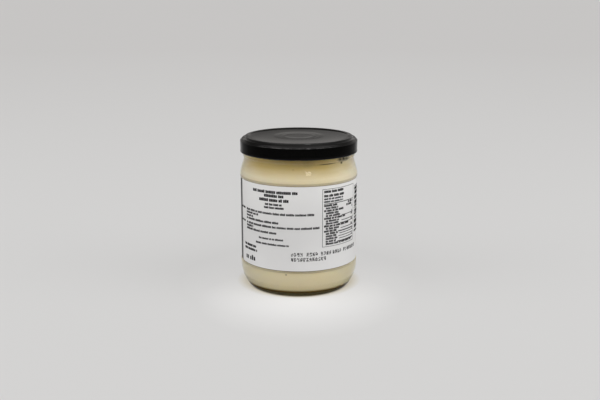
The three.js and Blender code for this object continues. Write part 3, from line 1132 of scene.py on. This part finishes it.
def print_bars(sheet):
    """A ladder of plain bars beside the table, of uneven heights."""
    draw = random.Random(BARS_SEED)
    z = BARS_LOW
    while z < BARS_HIGH:
        height = draw.choice(BAR_HEIGHTS)
        sheet.bar(BARS_LEFT + draw.choice(BAR_NOTCHES), BARS_RIGHT, z, z + height)
        z += height + draw.choice(BAR_GAPS)


def make_print():
    sheet = Sheet("label_print", PAPER_RADIUS + PAPER, INK)
    print_text(sheet)
    print_table(sheet)
    print_bars(sheet)
    finish_piece(sheet.wrapped(), printing_ink("black_ink", BLACK_INK, roughness=0.6, gloss=0.0))


def round_corners(u, v):
    """Bends a square towards a circle, so that a patch gets well rounded corners."""
    half = PLATE_ROUNDING / 2
    return u * math.sqrt(1 - half * v * v), v * math.sqrt(1 - half * u * u)


def leaf(u, v):
    return u, v * max(0.0, 1 - u * u) ** LEAF_FULLNESS


def lay_leaf(sheet, x, z, halves, turn):
    long, wide = halves
    sheet.shape(x - long, x + long, z - wide, z + wide, leaf, math.radians(turn))


def lay_sprig(sheet, middle):
    """An upright stem with pairs of leaves."""
    for tier in range(LEAF_TIERS):
        for side in (-1, 1):
            x = middle + side * LEAF_OFF
            lay_leaf(sheet, x, LEAF_FIRST + tier * LEAF_PITCH, LEAF_HALVES, 90 - side * LEAF_LEAN)
    sheet.bar(middle - STEM_HALF, middle + STEM_HALF, SPRIG_LOW, SPRIG_HIGH)


def make_front():
    """The front panel, out of the photo's sight: a dark field with a plain plate, leaves and blocks."""
    start = paper_start()
    end = along_paper(DARK_FROM)
    middle = (start + end) / 2
    dark = Sheet("front_field", PAPER_RADIUS + PAPER, INK)
    dark.bar(start, end, LABEL_BOTTOM, LABEL_TOP)
    dark_ink = printing_ink("dark_field_ink", DARK_FIELD_INK, roughness=0.42, gloss=0.15)
    finish_piece(dark.wrapped(), dark_ink)
    plate = Sheet("front_plate", PAPER_RADIUS + PAPER + INK, INK)
    plate.shape(middle - PLATE_HALF, middle + PLATE_HALF, PLATE_LOW, PLATE_HIGH, round_corners)
    for low, high in BORDER_LINES:
        plate.bar(start + BORDER_MARGIN, end - BORDER_MARGIN, low, high)
    for side in (-1, 1):
        lay_sprig(plate, middle + side * SPRIG_OFF)
    finish_piece(plate.wrapped(), printing_ink("cream_ink", CREAM_INK, roughness=0.5))
    marks = Sheet("front_marks", PAPER_RADIUS + PAPER + 2 * INK, INK)
    draw = random.Random(FRONT_SEED)
    for half, low, high, weight in FRONT_LINES:
        greek(marks, middle - half, middle + half, low, high, draw, weight)
    half, low, high = FRONT_RULE
    marks.bar(middle - half, middle + half, low, high)
    for lean in TOP_LEAF_LEANS:
        x = middle + TOP_LEAF_OFF * math.sin(math.radians(lean))
        lay_leaf(marks, x, TOP_LEAF_HEIGHT, TOP_LEAF_HALVES, 90 - lean)
    finish_piece(marks.wrapped(), printing_ink("front_marks_ink", MARKS_INK, roughness=0.5))


def make_stage():
    deselect()
    bpy.ops.mesh.primitive_circle_add(vertices=FLOOR_SIDES, radius=FLOOR_REACH, fill_type="NGON")
    floor = bpy.context.object
    floor.name = "floor"
    floor.data.materials.append(pale_floor())


def area_light(name, place, size, power):
    bpy.ops.object.light_add(type="AREA", location=place)
    light = bpy.context.object
    light.name = name
    light.data.shape = "RECTANGLE"
    light.data.size, light.data.size_y = size
    light.data.energy = power
    light.rotation_euler = (Vector(LAMP_AIM) - light.location).to_track_quat("-Z", "Y").to_euler()
    return light


def grey_ramp(room, along, levels, cast=CAST):
    stops = [(place, warm_grey(level, cast)) for place, level in levels]
    return room.node("ValToRGB", {"stops": stops}, {"Fac": along})


def make_room():
    """The light of a pale room round the jar, and the plain backdrop that the camera sees instead."""
    world = bpy.data.worlds.new("soft_room")
    bpy.context.scene.world = world
    room = Finish(world, "Generated")
    sideways, backwards, upwards = (room.axis(name) for name in "XYZ")
    behind_jar = grey_ramp(room, upwards, BACK_LIGHT, BACK_CAST)
    behind_camera = grey_ramp(room, upwards, FRONT_LIGHT)
    above = room.blend(backwards.between(*FRONT_TO_BACK), behind_camera, behind_jar)
    below = grey_ramp(room, backwards, LOW_LIGHT)
    middle = room.blend(upwards.between(*HORIZON), below, above)
    begins, ends = NEAR_RIGHT
    near_right = sideways.between(*begins) - sideways.between(*ends)
    to_side = sideways * sideways + sideways * RIGHT_MORE + near_right * RIGHT_MORE
    side = room.blend(to_side * upwards.between(*SIDE_HORIZON), warm_grey(0), warm_grey(SIDE_LIGHT))
    light = room.node("Background", {}, {"Color": room.blend(1.0, middle, side, kind="ADD")})
    backdrop = room.node("Background", {}, {"Color": BACKDROP})
    seen = room.node("LightPath", {}, {}, "Is Camera Ray")
    room.finished(room.node("MixShader", {}, {0: seen, 1: light, 2: backdrop}), "OutputWorld")


def make_lamps():
    """A wide key from above, a small lamp for the glints, and a fill at either side."""
    bpy.ops.object.light_add(type="SUN", location=KEY_PLACE)
    key = bpy.context.object
    key.name = "soft_key"
    key.data.energy = KEY_POWER
    key.data.angle = math.radians(KEY_SPREAD)
    key.visible_glossy = False
    key.rotation_euler = (-key.location).to_track_quat("-Z", "Y").to_euler()
    area_light("front_lamp", FRONT_LAMP_PLACE, FRONT_LAMP_SIZE, FRONT_LAMP_POWER)
    right, back, up = FILL_PLACE
    for name, side, power in (("left_fill", -1, LEFT_FILL_POWER), ("right_fill", 1, RIGHT_FILL_POWER)):
        fill = area_light(name, (side * right, back, up), FILL_SIZE, power)
        fill.visible_glossy = False


def make_camera():
    data = bpy.data.cameras.new("camera")
    data.lens = LENS
    data.sensor_width = SENSOR
    data.clip_end = 2 * FLOOR_REACH
    camera = bpy.data.objects.new("camera", data)
    bpy.context.scene.collection.objects.link(camera)
    camera.location = CAMERA_PLACE
    camera.rotation_euler = (math.radians(90 - CAMERA_PITCH), 0, 0)
    bpy.context.scene.camera = camera


bpy.context.scene.view_settings.view_transform = "Standard"
make_camera()
make_room()
make_lamps()
make_stage()
make_glass()
make_puree()
make_lid()
make_label()
make_print()
make_front()
